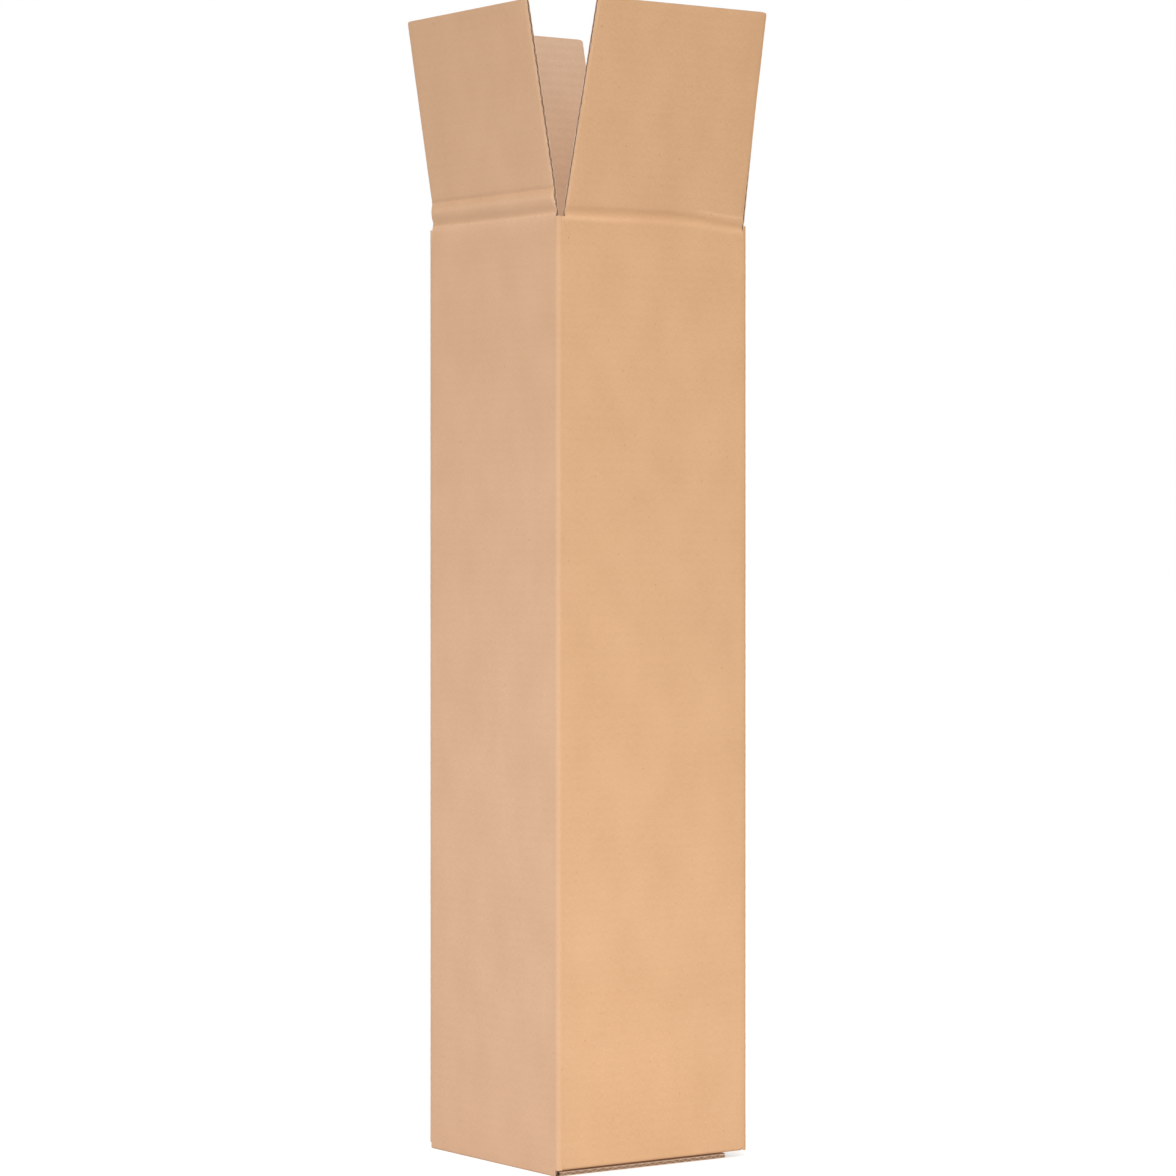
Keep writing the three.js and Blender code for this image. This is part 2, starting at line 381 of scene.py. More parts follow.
# short posts at the corners, from the walls to the floor of the top slots and the roof of the bottom ones
def makePosts(gather):
    for n, side in enumerate(panelOrder):
        low = unrolled[side] + tube["flapHalf"]
        high = unrolled[side] + panelWidth - tube["flapHalf"]
        if side == "right":
            low, high = low - wallGrid["seamPost"], lapStart
        post = np.linspace(low, high, wallGrid["postColumns"])
        roof = tube["slotRoofs"][n]
        for bottom, top in ((tube["wallTo"], tube["slotFloor"]), (roof, tube["wallFrom"])):
            rows = np.linspace(bottom, top, wallGrid["postRows"])
            # the posts take the folds' painted shade all over
            liners(gather, placeWall, post, rows, rows, -wallGrid["paintedShade"])
        capPost(gather, post, tube["slotFloor"], 1)
        capPost(gather, post, roof, -1)
    start = -tube["half"] + tube["seamGap"]
    rawEnd = np.linspace(start, -tube["flapHalf"], wallGrid["rawColumns"])
    for bottom, top in ((tube["wallTo"], tube["slotFloor"]), (tube["slotRoofs"][-1], tube["wallFrom"])):
        papers(gather, placeWall, rawEnd, np.linspace(bottom, top, wallGrid["postRows"]))


# the lap: rows drawn together towards its far edge, so that both ends slant
def makeLap(gather):
    width = lap["width"] - board["thick"]
    height = lap["high"] - lap["low"]

    def place(a, b, d):
        slant = lap["taper"] * (a - lapStart) / width
        low, high = lap["low"] + slant, lap["high"] - slant
        return placeWall(a, low + (high - low) * (b - lap["low"]) / height, d)

    across = lapStart + np.linspace(0.0, width, lap["columns"])
    along = np.linspace(lap["low"], lap["high"], lap["rows"])
    papers(gather, place, across, along, waveAcross=across[[0, -1]])


# the bottom flaps and the foot of each panel, in mm
bottomFolds = {
    "bases": {"front": 3.3, "rear": 6.6, "right": 9.9},
    "bends": {"front": 1.6, "rear": tube["bend"], "right": tube["bend"]},
    "lift": {"front": 0.9, "rear": 0.0, "right": 0.0},    # how far the fold itself stands above its flap
    "liftFlap": 10.0,      # the lift is gone after this much of the flap
    "liftPanel": (8.0, 14.0),      # and on the panel from this height, over this much more
    "length": 134.5,
    "round": 2.0,
    "tightest": 0.1,       # the inside of a bend is never tighter than this
    "lip": 1.2,            # the left panel's outer bend at the ground, beside the outermost flap's root
    "lipInner": 3.2,       # its inner liner ends at this height
    "columns": 12,
    "lipColumns": 22,
}


# how far a flap's edge is cut in at distance u from its fold: straight from root to end, with a rounded
# corner there
def cutAt(u, length, root, end, corner):
    into = np.clip(u - (length - corner), 0.0, corner)
    slant = (end - root) * np.clip(u / length, 0.0, 1.0)
    return root + slant + corner - np.sqrt(corner * corner - into * into)


# how ragged the knife left a cut edge, at place b along it and d deep in the board
def ragged(b, d, waves, seed):
    return board["ragged"] * wander(b, board["raggedDepth"] * d, waves, seed)


# the place across a flap, where s runs from edge to edge of its slots, drawn in to its two cut edges; near
# each edge the knife also pressed the board thinner, and the second value gives how much
def drawnIn(s, low, high):
    half = tube["flapHalf"]
    share = np.clip((s + half) / (2 * half), 0.0, 1.0)
    place = -half + low + share * (2 * half - low - high)
    fromEdge = np.minimum(s + half, half - s)
    return place, smooth(1.0 - fromEdge / board["pressed"])


# columns across a side's flap, with extra ones where the knife pressed its edges
def flapColumns(side, count):
    reach, pressed = tube["flapHalf"], board["pressed"]
    edge = reach - pressed * np.array([0.0, 0.2, 0.4, 0.6, 0.8])
    middle = np.linspace(-reach + pressed, reach - pressed, count)
    return unrolled[side] + np.concatenate([-edge, middle, edge[::-1]])


# a foot: the panel's last stretch, a quarter circle under it, and the flap folded level inside
def placeFoot(side):
    base = bottomFolds["bases"][side]
    liftFrom, liftOver = bottomFolds["liftPanel"]

    def place(a, b, d):
        r = np.maximum(bottomFolds["bends"][side], d + bottomFolds["tightest"])
        arc = r * math.pi / 2
        past = np.clip(base + r - b, 0.0, None)
        turn = np.clip(past / arc, 0.0, 1.0) * math.pi / 2
        inward = np.clip(past - arc, 0.0, None)
        u = np.where(past > 0, r + inward, 0.0)
        cutIn = cutAt(u, bottomFolds["length"], 0.0, 0.0, bottomFolds["round"])
        s, pressed = drawnIn(a - unrolled[side], cutIn, cutIn)
        d = d + (board["thick"] / 2 - d) * board["pinch"] * pressed * (u > 0)
        depth = r - (r - d) * np.cos(turn) + inward
        height = np.where(past > 0, base + r - (r - d) * np.sin(turn), b)
        lifted = (1 - smooth(u / bottomFolds["liftFlap"])) * (1 - smooth((b - liftFrom) / liftOver))
        return placeOn(side, s, depth, height + bottomFolds["lift"][side] * lifted)
    return place


# rows at the rounded corners of a bottom flap's free end, on a quarter circle's cosine
def cornerRows(end):
    return end + bottomFolds["round"] * (1 - np.cos(np.linspace(0, math.pi / 2, 6)))


# a covered bottom flap with its fold and the panel's last stretch
def makeFoot(gather, side):
    base, corner, r = bottomFolds["bases"][side], bottomFolds["round"], bottomFolds["bends"][side]
    arcEnd = base + r - r * math.pi / 2
    end = arcEnd - (bottomFolds["length"] - r)
    along = np.concatenate([
        cornerRows(end),
        np.linspace(end + corner, arcEnd, 34)[1:],
        np.linspace(arcEnd, base + r, 9)[1:],
        np.linspace(base + r, tube["wallFrom"], 8)[1:],
    ])
    few = flapColumns(side, 2)[[0, 4, 5, 6, 7, -1]]      # enough for the medium, which is hidden inside
    papers(gather, placeFoot(side), flapColumns(side, bottomFolds["columns"]), along, waveAcross=few)
    fluteShadeSheets(gather, placeFoot(side), side, along[along < arcEnd])


# the left panel ends in a narrow lip at the ground, where the outermost flap begins
def makeLip(gather):
    lip, reach = bottomFolds["lip"], tube["flapHalf"]

    def place(a, b, d):
        past = np.clip(lip - b, 0.0, None)
        turn = np.clip(past / (lip * math.pi / 2), 0.0, 1.0) * math.pi / 2
        depth = np.where(past > 0, lip - (lip - d) * np.cos(turn), d)
        height = np.where(past > 0, lip - (lip - d) * np.sin(turn), b)
        return placeOn("left", a - unrolled["left"], depth, height)

    across = unrolled["left"] + np.linspace(-reach, reach, bottomFolds["lipColumns"])
    lowest = lip - lip * math.pi / 2
    along = np.concatenate([np.linspace(lowest, lip, 7), np.linspace(lip, tube["wallFrom"], 12)[1:]])
    papers(gather, place, across, along, innerFrom=bottomFolds["lipInner"])
    fluteShadeSheets(gather, place, "left", along[along > lip - 0.01])


# the top flaps, in mm; low and high give how far each cut edge stands in, at the root and at the free end
topFlaps = {
    "front": {"length": 134.5, "low": (2.5, 6.2), "high": (0.0, 4.5)},
    "rear": {"length": 132.9, "low": (2.5, 6.5), "high": (0.0, 4.0)},
    "right": {"length": 134.5, "low": (0.0, 3.5), "high": (0.0, 3.5)},
    "left": {"length": 119.3, "low": (0.0, 0.8), "high": (2.2, 4.2)},
    "round": 2.0,
    "bend": 3.0,           # the lean comes on over this much board each side of the crease
    "hinge": 6.0,          # and the hinge's own bend over this much
    "cutFrom": -0.3,       # the edges stand in from this far above the slots' floor
    "cutOver": 0.4,
    "leftCutOver": 13.0,   # the left ones come in slowly, from its lower crease up
    "pressFrom": 2.0,      # the knife's press comes on from this far above the slots' floor
    "pressOver": 4.0,
    "raggedWaves": (1.9, 3.7, 8.3, 23.0),
    "columns": 26,
    "mediumColumns": 6,
    "creaseRows": 64,      # these run up to a little above the crease, where the rest takes over
    "creaseTo": 9.0,
    "rows": 50,
    "lineSteps": 3000,     # the bent line is added up in this many steps
}

# the left panel's lower crease, in mm
leftLow = {
    "below": 14.0,         # from the crease that its flap turns at
    "drift": 0.25,
    "driftWaves": (60.0, 37.0),
    "sunk": 1.5,
    "sunkBelow": 4.5,      # how fast the dip fades below the line and above it
    "sunkAbove": 2.6,
    "sunkOver": 5.0,       # and how soon it comes on above the plain wall
    # a painted highlight under the lower crease, where its shoulder catches the light: how strong, how far
    # under the line it starts and how fast it fades
    "rubbed": 0.95,
    "rubbedFrom": 1.2,
    "rubbedFades": 4.5,
}

# the front crease is a dark line of painted shade over a pale line of painted highlight. Each is so far
# above the flap's hinge, and the steps give how much it rises, from which place along it and over how much
frontCrease = {
    "upper": 2.0,
    "upperSteps": ((-5.0, 8.0, 62.0),),
    "lower": -4.8,
    "lowerSteps": ((0.5, -50.0, 50.0), (-3.4, 20.0, 50.0)),
    "pale": 0.25,          # how strong the pale line is in its middle, and what it gains to each side
    "paleLeft": (0.55, 0.0, 50.0),
    "paleRight": (0.2, 30.0, 30.0),
    "paleWidth": 1.7,
    "edge": (0.75, 30.0, 12.0),    # a second pale line of painted highlight, at the right only
    "edgeAbove": 4.2,
    "edgeWidth": 1.1,
}

# marks along the creases: the line that each follows, how far above it, its width and its amount. Pale and
# dark ones are painted highlight and painted shade in the liner's colour, partly rubbed and crushed paper;
# dips in the outer face (below zero they stand out), innerDips in the inner one
creaseMarks = {
    "left": {
        "pale": [("low", 8.0, 2.2, 0.35)],
        "dark": [("low", 2.2, 2.4, 0.28), ("crease", 0.6, 0.9, 0.30)],
        "dips": [("straightLow", 8.0, 3.6, -0.70), ("crease", 0.0, 1.6, 0.75)],
        "innerDips": [("crease", 1.0, 2.2, 0.7), ("straightLow", 0.0, 2.0, 0.4)],
    },
    "front": {
        "pale": [],
        "dark": [("upper", 0.0, 1.4, 0.32)],
        "dips": [("between", 0.0, 2.8, 1.2), ("lower", -3.0, 3.0, -0.35)],
        "innerDips": [("crease", 1.0, 2.2, 0.7)],
    },
    "other": {
        "pale": [("crease", -4.0, 2.2, 0.4)],
        "dark": [("crease", 1.0, 1.4, 0.4)],
        "dips": [("drifting", 0.0, 1.7, 0.75), ("crease", -4.5, 3.0, -0.3)],
        "innerDips": [("crease", 1.0, 2.2, 0.7)],
    },
}
creaseDrift = (0.3, (70.0, 41.0))      # how far the rear and right creases drift, and their waves


# the heights of a side's pressed lines, at place s along them
def linesAt(side, s):
    crease = creaseHeight(side)
    lines = {"crease": crease}
    if side == "left":
        lines["straightLow"] = crease - leftLow["below"]
        drift = leftLow["drift"] * wander(s, 0 * s, leftLow["driftWaves"], 2)
        lines["low"] = lines["straightLow"] + drift
    elif side == "front":
        for name in ("upper", "lower"):
            steps = sum(ramped(s, *step) for step in frontCrease[name + "Steps"])
            lines[name] = crease + frontCrease[name] + steps
        lines["between"] = (lines["upper"] + lines["lower"]) / 2
    else:
        drift, waves = creaseDrift
        lines["drifting"] = crease + drift * wander(s, 0 * s, waves, 5)
    return lines


# all of a side's marks of one kind, added up at height b
def marksAt(side, kind, lines, b):
    total = np.zeros_like(b)
    for line, above, width, amount in creaseMarks.get(side, creaseMarks["other"])[kind]:
        total = total + amount * hump(b, lines[line] + above, width)
    return total


# painted highlight beside the creases, above zero, and painted shade along them, below zero;
# partly rubbed and crushed paper
def creasePaintedLight(side, s, b):
    lines = linesAt(side, s)
    rub = marksAt(side, "pale", lines, b) - marksAt(side, "dark", lines, b)
    if side == "left":
        under = lines["low"] - leftLow["rubbedFrom"] - b
        fading = np.where(under > 0, np.exp(-under / leftLow["rubbedFades"]), 0.0)
        rub = rub + leftLow["rubbed"] * fading * smooth(under)
    elif side == "front":
        strength = ramped(-s, *frontCrease["paleLeft"]) + ramped(s, *frontCrease["paleRight"])
        strength = strength + frontCrease["pale"]
        rub = rub + strength * hump(b, lines["lower"], frontCrease["paleWidth"])
        edge = hump(b, lines["upper"] + frontCrease["edgeAbove"], frontCrease["edgeWidth"])
        rub = rub + ramped(s, *frontCrease["edge"]) * edge
    return rub


# pressed creases: how far the outer face dips in, and the inner face out, at place s and height b
def creaseDips(side, s, b):
    lines = linesAt(side, s)
    outer = marksAt(side, "dips", lines, b)
    if side == "left":
        above = b - lines["low"]
        fadeDown = np.exp(np.minimum(above, 0.0) / leftLow["sunkBelow"])
        fadeUp = hump(np.maximum(above, 0.0), 0.0, leftLow["sunkAbove"])
        outer = outer + ramped(b, leftLow["sunk"], tube["wallTo"], leftLow["sunkOver"]) * fadeDown * fadeUp
    return outer, marksAt(side, "innerDips", lines, b)


# a top flap with the last stretch of its panel: the board follows a line whose slope turns smoothly
# from upright to the lean across the crease
def placeTopFlap(side):
    facts = topFlaps[side]
    crease, lean = creaseHeight(side), leanOf(side)
    bend = topFlaps["bend"]
    cutFrom, cutOver = tube["slotFloor"] + topFlaps["cutFrom"], topFlaps["cutOver"]
    if side == "left":
        cutFrom, cutOver = crease - leftLow["below"], topFlaps["leftCutOver"]
    pressFrom = tube["slotFloor"] + topFlaps["pressFrom"]
    u = np.linspace(tube["wallTo"] - crease, facts["length"], topFlaps["lineSteps"])
    slope = lean * smooth((u + bend) / (2 * bend))
    middle = (slope[1:] + slope[:-1]) / 2
    step = u[1] - u[0]
    out = np.concatenate([[0.0], np.cumsum(np.sin(middle)) * step])
    up = tube["wallTo"] + np.concatenate([[0.0], np.cumsum(np.cos(middle)) * step])

    def place(a, b, d):
        along = b - crease
        slot = smooth((b - cutFrom) / cutOver)
        rough = ragged(b, d, topFlaps["raggedWaves"], 4) * (along > 0)
        low, high = (rough + cutAt(along, facts["length"], root * slot, end, topFlaps["round"])
                     for root, end in (facts["low"], facts["high"]))
        s, pressed = drawnIn(a - unrolled[side], low, high)
        dipOut, dipIn = creaseDips(side, s, b)
        depth = dipOut + d / board["thick"] * (board["thick"] - dipOut - dipIn)
        pressed = board["pinch"] * pressed * smooth((b - pressFrom) / topFlaps["pressOver"])
        depth = depth + (board["thick"] / 2 - depth) * pressed
        angle = np.interp(along, u, slope)
        inward = -np.interp(along, u, out) + depth * np.cos(angle)
        return placeOn(side, s, inward, np.interp(along, u, up) + depth * np.sin(angle))
    return place


# a top flap is one piece with its stretch of panel; the board bends across the crease into the flap's lean
def makeTopFlap(side, finishes):
    crease = creaseHeight(side)
    corner = topFlaps["round"]
    creaseTo = crease + topFlaps["creaseTo"]
    end = crease + topFlaps[side]["length"]
    across = flapColumns(side, topFlaps["columns"])
    along = np.concatenate([
        np.linspace(tube["wallTo"], creaseTo, topFlaps["creaseRows"]),
        np.linspace(creaseTo, end - corner, topFlaps["rows"])[1:],
        end - corner + corner * np.sin(np.linspace(0, math.pi / 2, 7)[1:]),
    ])
    gather = Gather()
    rub = creasePaintedLight(side, *np.meshgrid(across - unrolled[side], along))
    few = flapColumns(side, topFlaps["mediumColumns"])
    papers(gather, placeTopFlap(side), across, along, rub, waveAcross=few)
    fluteShadeSheets(gather, placeTopFlap(side), side, along)
    piece = gather.build(side + "FlapBoard", finishes)
    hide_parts("flap_" + side)
    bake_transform(piece)


# the outermost bottom flap, in mm: flat board on the ground, its root cut back from the panel's lip
bottomFlap = {
    "spread": 1.3,         # its cut edges stand out past the slots' by this much
    "pinch": 0.15,         # pressed less than the other flaps
    "raggedWaves": (2.1, 3.3, 8.9, 19.0),
    "outerFrom": 1.5,      # where its outer liner, inner liner and medium start, in from the left panel
    "innerFrom": 3.6,
    "mediumFrom": 3.8,
    "columns": 20,
    "mediumColumns": 4,
    "rows": 40,
}


# level board, b running up towards the panel's fold at 0
def placeBottomFlap(a, b, d):
    edge = -bottomFlap["spread"]
    cutIn = cutAt(-b, bottomFolds["length"], edge, edge, bottomFolds["round"])
    cutIn = cutIn + ragged(b, d, bottomFlap["raggedWaves"], 6)
    s, pressed = drawnIn(a - unrolled["left"], cutIn, cutIn)
    return placeOn("left", s, -b, d + (board["thick"] / 2 - d) * bottomFlap["pinch"] * pressed)


def makeBottomFlap(finishes):
    end, corner = -bottomFolds["length"], bottomFolds["round"]
    innerRows = np.concatenate([
        cornerRows(end),
        np.linspace(end + corner, -bottomFlap["innerFrom"], bottomFlap["rows"])[1:],
    ])
    rootRows = np.linspace(-bottomFlap["innerFrom"], -bottomFlap["outerFrom"], 4)[1:]
    outerRows = np.concatenate([innerRows, rootRows])
    gather = Gather()
    liners(gather, placeBottomFlap, flapColumns("left", bottomFlap["columns"]), outerRows, innerRows)
    few = flapColumns("left", bottomFlap["mediumColumns"])
    medium(gather, placeBottomFlap, few, end, -bottomFlap["mediumFrom"])
    fluteShadeSheets(gather, placeBottomFlap, "left", innerRows)
    piece = gather.build("bottomFlapBoard", finishes)
    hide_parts("bottom_flap_left")
    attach(piece, "bottom_flap")


# a colour written in counts of 255, as the light it stands for
def linear(colour):
    shares = [c / 255 for c in colour]
    return tuple(((c + 0.055) / 1.055) ** 2.4 if c > 0.04 else c / 12.92 for c in shares) + (1.0,)


# a finish is drawn by a small set of node helpers
class Finish:
    def __init__(self, name):
        self.material = bpy.data.materials.new(name)
        self.material.use_nodes = True
        self.nodes, self.links = self.material.node_tree.nodes, self.material.node_tree.links
        self.shader = self.nodes["Principled BSDF"]
        self.place = self.nodes.new("ShaderNodeUVMap").outputs["UV"]
        self.nodes["UV Map"].uv_map = "boardFlat"

    def noise(self, stretch, detail=2.0, roughness=0.5, shift=(0, 0, 0)):
        mapping = self.nodes.new("ShaderNodeMapping")
        mapping.inputs["Scale"].default_value = (stretch[0], stretch[1], 1.0)
        mapping.inputs["Location"].default_value = shift
        texture = self.nodes.new("ShaderNodeTexNoise")
        texture.inputs["Scale"].default_value = 1.0
        texture.inputs["Detail"].default_value = detail
        texture.inputs["Roughness"].default_value = roughness
        self.links.new(self.place, mapping.inputs["Vector"])
        self.links.new(mapping.outputs["Vector"], texture.inputs["Vector"])
        return texture.outputs["Fac"]

    # a value taken from one range to another, clamped
    def ranged(self, value, fromLow, fromHigh, toLow, toHigh):
        node = self.nodes.new("ShaderNodeMapRange")
        numbers = {"From Min": fromLow, "From Max": fromHigh, "To Min": toLow, "To Max": toHigh}
        for name, number in numbers.items():
            node.inputs[name].default_value = number
        self.links.new(value, node.inputs["Value"])
        return node.outputs["Result"]

    def maths(self, operation, *values):
        node = self.nodes.new("ShaderNodeMath")
        node.operation = operation
        for n, value in enumerate(values):
            if isinstance(value, (int, float)):
                node.inputs[n].default_value = value
            else:
                self.links.new(value, node.inputs[n])
        return node.outputs["Value"]

    def mixed(self, share, low, high):
        node = self.nodes.new("ShaderNodeMix")
        node.data_type = "RGBA"
        for name, value in (("Factor", share), ("A", low), ("B", high)):
            if isinstance(value, tuple):
                node.inputs[name].default_value = value
            else:
                self.links.new(value, node.inputs[name])
        return node.outputs["Result"]

    # level bands one pitch high, where the liner follows the flutes under it
    def washboard(self):
        split = self.nodes.new("ShaderNodeSeparateXYZ")
        self.links.new(self.place, split.inputs["Vector"])
        turned = self.maths("MULTIPLY", split.outputs["Y"], 2 * math.pi / (board["pitch"] * mm))
        return self.maths("COSINE", turned)

    def bumped(self, height, strength, distance):
        node = self.nodes.new("ShaderNodeBump")
        node.inputs["Strength"].default_value = strength
        node.inputs["Distance"].default_value = distance
        self.links.new(height, node.inputs["Height"])
        self.links.new(node.outputs["Normal"], self.shader.inputs["Normal"])

    def painted(self, colour, roughness, shine):
        self.links.new(colour, self.shader.inputs["Base Color"])
        self.shader.inputs["Roughness"].default_value = roughness
        self.shader.inputs["Specular IOR Level"].default_value = shine


# the liners' grain: cells to the metre along the flutes and across them, detail, roughness and shift
grains = {
    "cloud": ((34.0, 22.0), 3.0, 0.5, (0, 0, 0)),
    "fibre": ((1500.0, 380.0), 3.0, 0.6, (0, 0, 0)),
    "level": ((260.0, 1700.0), 2.0, 0.6, (3, 7, 0)),
    "grit": ((2600.0, 2600.0), 2.0, 0.6, (11, 5, 0)),
    "speck": ((620.0, 300.0), 1.0, 0.5, (5, 1, 0)),
}

# the liners' colours; a paler one is mixed in as painted highlight and a darker one as painted shade
outsideKraft = {
    "dark": (190, 144, 102), "light": (232, 188, 147), "rubbed": (240, 198, 160),
    "paintedShade": (180, 135, 96), "speckColour": (168, 120, 82), "specks": 0.5, "paintedLightShare": 0.6,
    "cloud": 0.06, "fibre": 0.08, "level": 0.06, "grit": 0.07, "band": 0.01,
    "roughness": 0.82, "bandHeight": 0.008, "fibreHeight": 0.03,
}

insideKraft = {
    "dark": (200, 166, 138), "light": (242, 209, 179), "rubbed": (240, 208, 180),
    "paintedShade": (176, 140, 112), "speckColour": (170, 128, 100), "specks": 0.4, "paintedLightShare": 0.4,
    "cloud": 0.06, "fibre": 0.07, "level": 0.10, "grit": 0.06, "band": 0.03,
    "roughness": 0.86, "bandHeight": 0.025, "fibreHeight": 0.03,
}


# a kraft liner: cloudy fibre, short upright and level flecks, faint flute bands, dark specks, with a
# painted highlight where the point's painted light is above zero and painted shade where it is below zero
def kraftLiner(name, facts):
    finish = Finish(name)
    grain = {part: finish.noise(*numbers) for part, numbers in grains.items()}
    band = finish.washboard()
    tone = finish.maths("MULTIPLY", band, facts["band"])
    for part in ("cloud", "fibre", "level", "grit"):
        tone = finish.maths("ADD", tone, finish.ranged(grain[part], 0.3, 0.7, -facts[part], facts[part]))
    share = finish.ranged(tone, -0.5, 0.5, 0.0, 1.0)
    colour = finish.mixed(share, linear(facts["dark"]), linear(facts["light"]))
    specks = finish.ranged(grain["speck"], 0.74, 0.80, 0.0, facts["specks"])
    colour = finish.mixed(specks, colour, linear(facts["speckColour"]))
    rub = finish.nodes.new("ShaderNodeAttribute")
    rub.attribute_name = "rub"
    paintedLightShare = finish.maths("MULTIPLY", rub.outputs["Fac"], finish.ranged(grain["level"], 0.25, 0.75, 0.35, 1.0))
    for name, amount in (("rubbed", facts["paintedLightShare"]), ("paintedShade", -facts["paintedLightShare"])):
        colour = finish.mixed(finish.maths("MULTIPLY", paintedLightShare, amount), colour, linear(facts[name]))
    finish.painted(colour, facts["roughness"], 0.25)
    height = finish.maths("MULTIPLY", band, facts["bandHeight"])
    for part in ("fibre", "grit"):
        height = finish.maths("ADD", height, finish.maths("MULTIPLY", grain[part], facts["fibreHeight"]))
    finish.bumped(height, 1.0, mm)
    return finish.material


# the medium and the liners' glued faces, browner and coarser
flutePaper = {
    "grain": (900.0, 700.0), "uneven": 0.6, "dark": (150, 110, 80), "light": (204, 164, 130),
    "roughness": 0.9, "shine": 0.2, "bump": 0.6, "bumpHeight": 0.1,
}

# a cut edge of paper, paler where the blade tore the fibres
cutPaper = {
    "grain": (1800.0, 1800.0), "uneven": 0.7, "dark": (204, 172, 144), "light": (246, 222, 196),
    "roughness": 0.92, "shine": 0.15, "bump": 0.8, "bumpHeight": 0.15,
}

# painted shade across the flute ends: a dark brown sheet that stands for the shade deep in the flutes
fluteShadePaper = {
    "grain": (420.0, 900.0), "uneven": 0.7, "dark": (132, 100, 76), "light": (200, 164, 136),
    "roughness": 0.92, "shine": 0.15, "bump": 0.6, "bumpHeight": 0.1,
}


# plain paper: one grain of fibres, from dark to light and slightly raised
def barePaper(name, facts):
    finish = Finish(name)
    fibre = finish.noise(facts["grain"], 3.0, facts["uneven"])
    colour = finish.mixed(fibre, linear(facts["dark"]), linear(facts["light"]))
    finish.painted(colour, facts["roughness"], facts["shine"])
    finish.bumped(fibre, facts["bump"], facts["bumpHeight"] * mm)
    return finish.material


# in the order of the finish numbers
finishes = [
    kraftLiner("kraft outside", outsideKraft),
    kraftLiner("kraft inside", insideKraft),
    barePaper("flute paper", flutePaper),
    barePaper("cut paper", cutPaper),
    barePaper("frayed paper", fluteShadePaper),
]
print("finishes made")

walls = Gather()
makePanels(walls)
makePosts(walls)
makeLap(walls)
for side in bottomFolds["bases"]:
    makeFoot(walls, side)
makeLip(walls)
tubeBoard = walls.build("tubeBoard", finishes)
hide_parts("tube_body")
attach(tubeBoard, "tube")

for side in turns:
    makeTopFlap(side, finishes)
makeBottomFlap(finishes)
print("board made")


studio = {
    "floorSize": 40.0,
    "floorColour": (0.6, 0.59, 0.56, 1.0),
    "floorGlow": 0.62,     # what the camera sees of the floor besides its lit colour
    "sky": 0.70,
}

# soft lamps: place and aim in metres, size, watts and colour
lamps = {
    "top": {
        "place": (-0.9, -1.5, 2.6), "aim": (0.0, 0.0, 0.6),
        "size": 1.2, "watts": 29.0, "colour": (1.0, 1.0, 1.0),
    },
    "lowRight": {
        "place": (-0.15, -1.0, 0.1), "aim": (0.0, 0.0, 0.0),
        "size": 0.3, "watts": 2.5, "colour": (1.0, 1.0, 1.0),
    },
    "footRight": {
        "place": (0.0, -0.33, 0.03), "aim": (0.0, 0.0, 0.03),
        "size": 0.12, "watts": 0.09, "colour": (1.0, 1.0, 1.0),
    },
    "lowLeft": {
        "place": (-1.0, -0.15, 0.1), "aim": (0.0, 0.0, 0.0),
        "size": 0.3, "watts": 5.4, "colour": (0.54, 0.66, 1.0),
    },
}

camera = {
    "azimuth": -35.12,     # degrees from looking along +Y
    "depth": 2469.1,       # mm from the lens to the near upright edge, along the view
    "aside": 18.9,         # mm of that edge left of the axis
    "height": 402.4,
    "focal": 3927.8,       # pixels, in a frame of frameWidth
    "horizon": 537.7,      # pixels down that frame
    "frameWidth": 1176.0,
}


# 1 where a ray comes straight from the camera, or by way of metal or glass
def seenRay(nodes, links):
    path = nodes.new("ShaderNodeLightPath")
    total = path.outputs["Is Camera Ray"]
    for name in ("Is Glossy Ray", "Is Transmission Ray"):
        most = nodes.new("ShaderNodeMath")
        most.operation = "MAXIMUM"
        links.new(total, most.inputs[0])
        links.new(path.outputs[name], most.inputs[1])
        total = most.outputs["Value"]
    return total


# a wide floor: lit it takes the shadow, and the camera sees it near white
def makeFloor():
    half = studio["floorSize"] / 2
    corners = [(-half, -half, 0), (half, -half, 0), (half, half, 0), (-half, half, 0)]
    mesh = bpy.data.meshes.new("floor")
    mesh.from_pydata(corners, [], [(0, 1, 2, 3)])
    floor = bpy.data.objects.new("floor", mesh)
    bpy.context.scene.collection.objects.link(floor)
    paint = bpy.data.materials.new("pale floor")
    paint.use_nodes = True
    nodes, links = paint.node_tree.nodes, paint.node_tree.links
    shader = nodes["Principled BSDF"]
    shader.inputs["Base Color"].default_value = studio["floorColour"]
    shader.inputs["Roughness"].default_value = 1.0
    shader.inputs["Specular IOR Level"].default_value = 0.0
    shader.inputs["Emission Color"].default_value = (1, 1, 1, 1)
    glow = nodes.new("ShaderNodeMath")
    glow.operation = "MULTIPLY"
    links.new(seenRay(nodes, links), glow.inputs[0])
    glow.inputs[1].default_value = studio["floorGlow"]
    links.new(glow.outputs["Value"], shader.inputs["Emission Strength"])
    mesh.materials.append(paint)


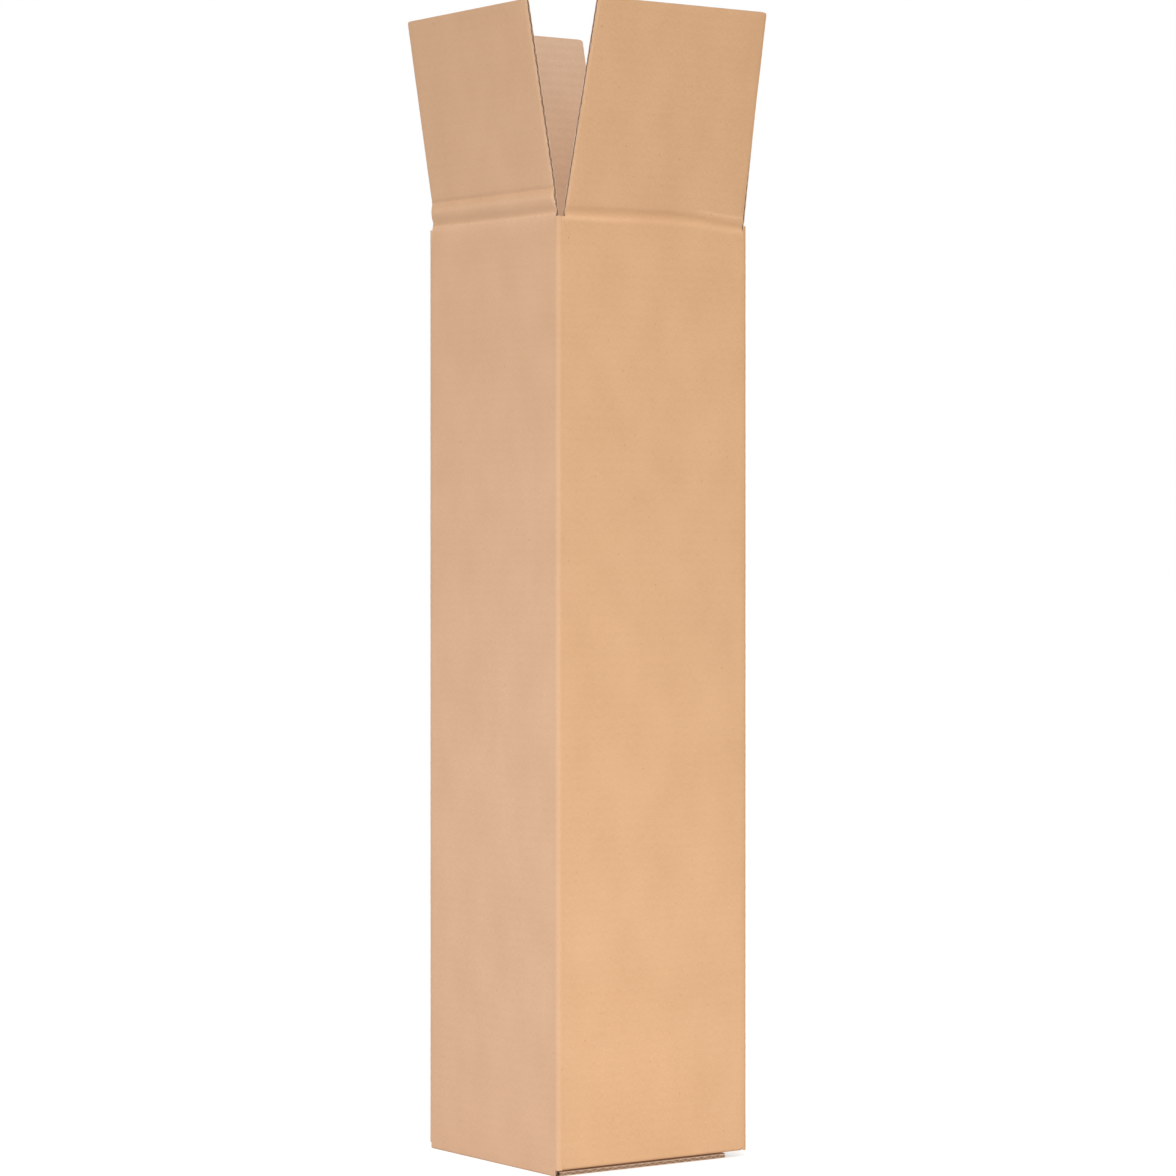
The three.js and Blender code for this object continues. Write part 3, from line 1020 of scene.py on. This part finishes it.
# the world: a plain sky for the object, and white where the camera looks past it
def makeLight():
    world = bpy.data.worlds.new("studio")
    bpy.context.scene.world = world
    world.use_nodes = True
    nodes, links = world.node_tree.nodes, world.node_tree.links
    soft = nodes["Background"]
    soft.inputs["Color"].default_value = (1, 1, 1, 1)
    soft.inputs["Strength"].default_value = studio["sky"]
    white = nodes.new("ShaderNodeBackground")
    white.inputs["Color"].default_value = (1, 1, 1, 1)
    white.inputs["Strength"].default_value = 1.0
    mix = nodes.new("ShaderNodeMixShader")
    links.new(seenRay(nodes, links), mix.inputs["Fac"])
    links.new(soft.outputs["Background"], mix.inputs[1])
    links.new(white.outputs["Background"], mix.inputs[2])
    links.new(mix.outputs["Shader"], nodes["World Output"].inputs["Surface"])
    for name, facts in lamps.items():
        lamp = bpy.data.lights.new(name, "AREA")
        lamp.energy = facts["watts"]
        lamp.color = facts["colour"]
        lamp.shape = "DISK"
        lamp.size = facts["size"]
        holder = bpy.data.objects.new(name, lamp)
        holder.location = facts["place"]
        aim = Vector(facts["aim"]) - Vector(facts["place"])
        holder.rotation_euler = aim.to_track_quat("-Z", "Y").to_euler()
        bpy.context.scene.collection.objects.link(holder)


# a level camera, moved off its picture's middle by shift so that upright lines stay upright
def makeCamera():
    turn = math.radians(-camera["azimuth"])
    ahead = np.array([math.sin(turn), math.cos(turn)])
    aside = np.array([math.cos(turn), -math.sin(turn)])
    place = np.array([-tube["half"], -tube["half"]]) - camera["depth"] * ahead + camera["aside"] * aside
    data = bpy.data.cameras.new("camera")
    data.sensor_width = 36.0
    data.lens = 36.0 * camera["focal"] / camera["frameWidth"]
    data.shift_y = (camera["horizon"] - camera["frameWidth"] / 2) / camera["frameWidth"]
    data.clip_end = 100.0
    view = bpy.data.objects.new("camera", data)
    view.location = (place[0] * mm, place[1] * mm, camera["height"] * mm)
    view.rotation_euler = (math.pi / 2, 0.0, -turn)
    bpy.context.scene.collection.objects.link(view)
    bpy.context.scene.camera = view


makeFloor()
makeLight()
makeCamera()
bpy.context.scene.view_settings.view_transform = "Standard"
print("studio made")
